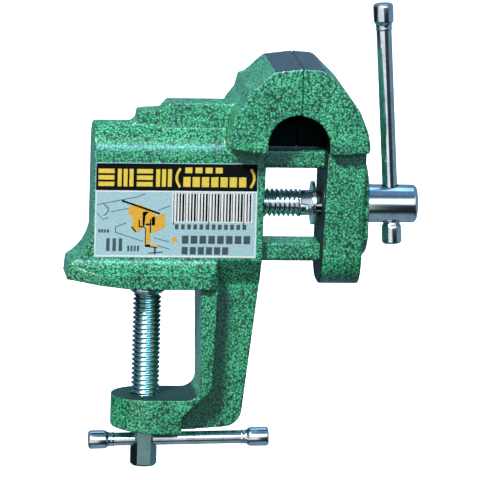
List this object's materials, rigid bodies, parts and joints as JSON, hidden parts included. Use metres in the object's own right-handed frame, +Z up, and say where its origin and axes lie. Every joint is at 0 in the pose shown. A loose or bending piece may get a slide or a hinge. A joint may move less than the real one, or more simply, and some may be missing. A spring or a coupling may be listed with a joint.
{
  "type": "bench vise",
  "caption": "Clamp-on bench vise with arched wide jaws, flat guide bars, a screw spindle with tommy bar, a small anvil and a C-shaped bench clamp.",
  "frame": {"origin": "on the bench seat, the flat underside of the upper flange, where the clamp screw's axis meets it", "axes": "+X the way the moving jaw opens, +Y across the jaws, +Z up, away from the bench"},
  "size_m": [0.1482, 0.05, 0.1989],
  "materials": {
    "paint": "green hammertone enamel on cast iron",
    "plated": "bright plated steel",
    "steel": "drawn and ground steel",
    "sticker": "printed glossy film"
  },
  "bodies": {
    "vise_body": {"body_casting": "paint", "spindle_nut": "steel", "nut_set_screw": "steel", "label": "sticker"},
    "jaw_body": {"moving_jaw": "paint", "upper_guide_bar": "paint", "lower_guide_bar": "paint"},
    "spindle_body": {"spindle": "plated", "spindle_pin": "steel", "spindle_washer": "plated"},
    "handle_body": {"handle_bar": "plated", "handle_cap_top": "plated", "handle_cap_bottom": "plated"},
    "pad_body": {"clamp_pad": "plated"},
    "clamp_screw_body": {"clamp_screw": "plated", "pad_rivet": "steel"},
    "clamp_bar_body": {"clamp_bar": "plated", "clamp_cap_left": "plated", "clamp_cap_right": "plated"}
  },
  "joints": [
    {"name": "jaw_slide", "type": "slide", "parent": "vise_body", "child": "jaw_body", "axis": [1, 0, 0], "range_m": [0, 0.05]},
    {"name": "spindle_turn", "type": "hinge", "parent": "jaw_body", "child": "spindle_body", "pos_m": [0.1021, 0, 0.0345], "axis": [1, 0, 0], "range_deg": [0, 8999]},
    {"name": "handle_slide", "type": "slide", "parent": "spindle_body", "child": "handle_body", "axis": [-0.068, 0, 0.9977], "range_m": [-0.068, 0]},
    {"name": "clamp_slide", "type": "slide", "parent": "vise_body", "child": "pad_body", "axis": [0, 0, -1], "range_m": [0, 0.04]},
    {"name": "clamp_turn", "type": "hinge", "parent": "pad_body", "child": "clamp_screw_body", "pos_m": [0, 0, -0.06775], "axis": [0, 0, -1], "range_deg": [0, 7199]},
    {"name": "clamp_bar_slide", "type": "slide", "parent": "clamp_screw_body", "child": "clamp_bar_body", "axis": [0.9984, -0.0436, 0.0349], "range_m": [-0.0376, 0.0092]}
  ],
  "couplings": [
    {"joint": "jaw_slide", "follows": "spindle_turn", "m_per_rad": 0.00031831},
    {"joint": "clamp_slide", "follows": "clamp_turn", "m_per_rad": 0.00031831}
  ]
}
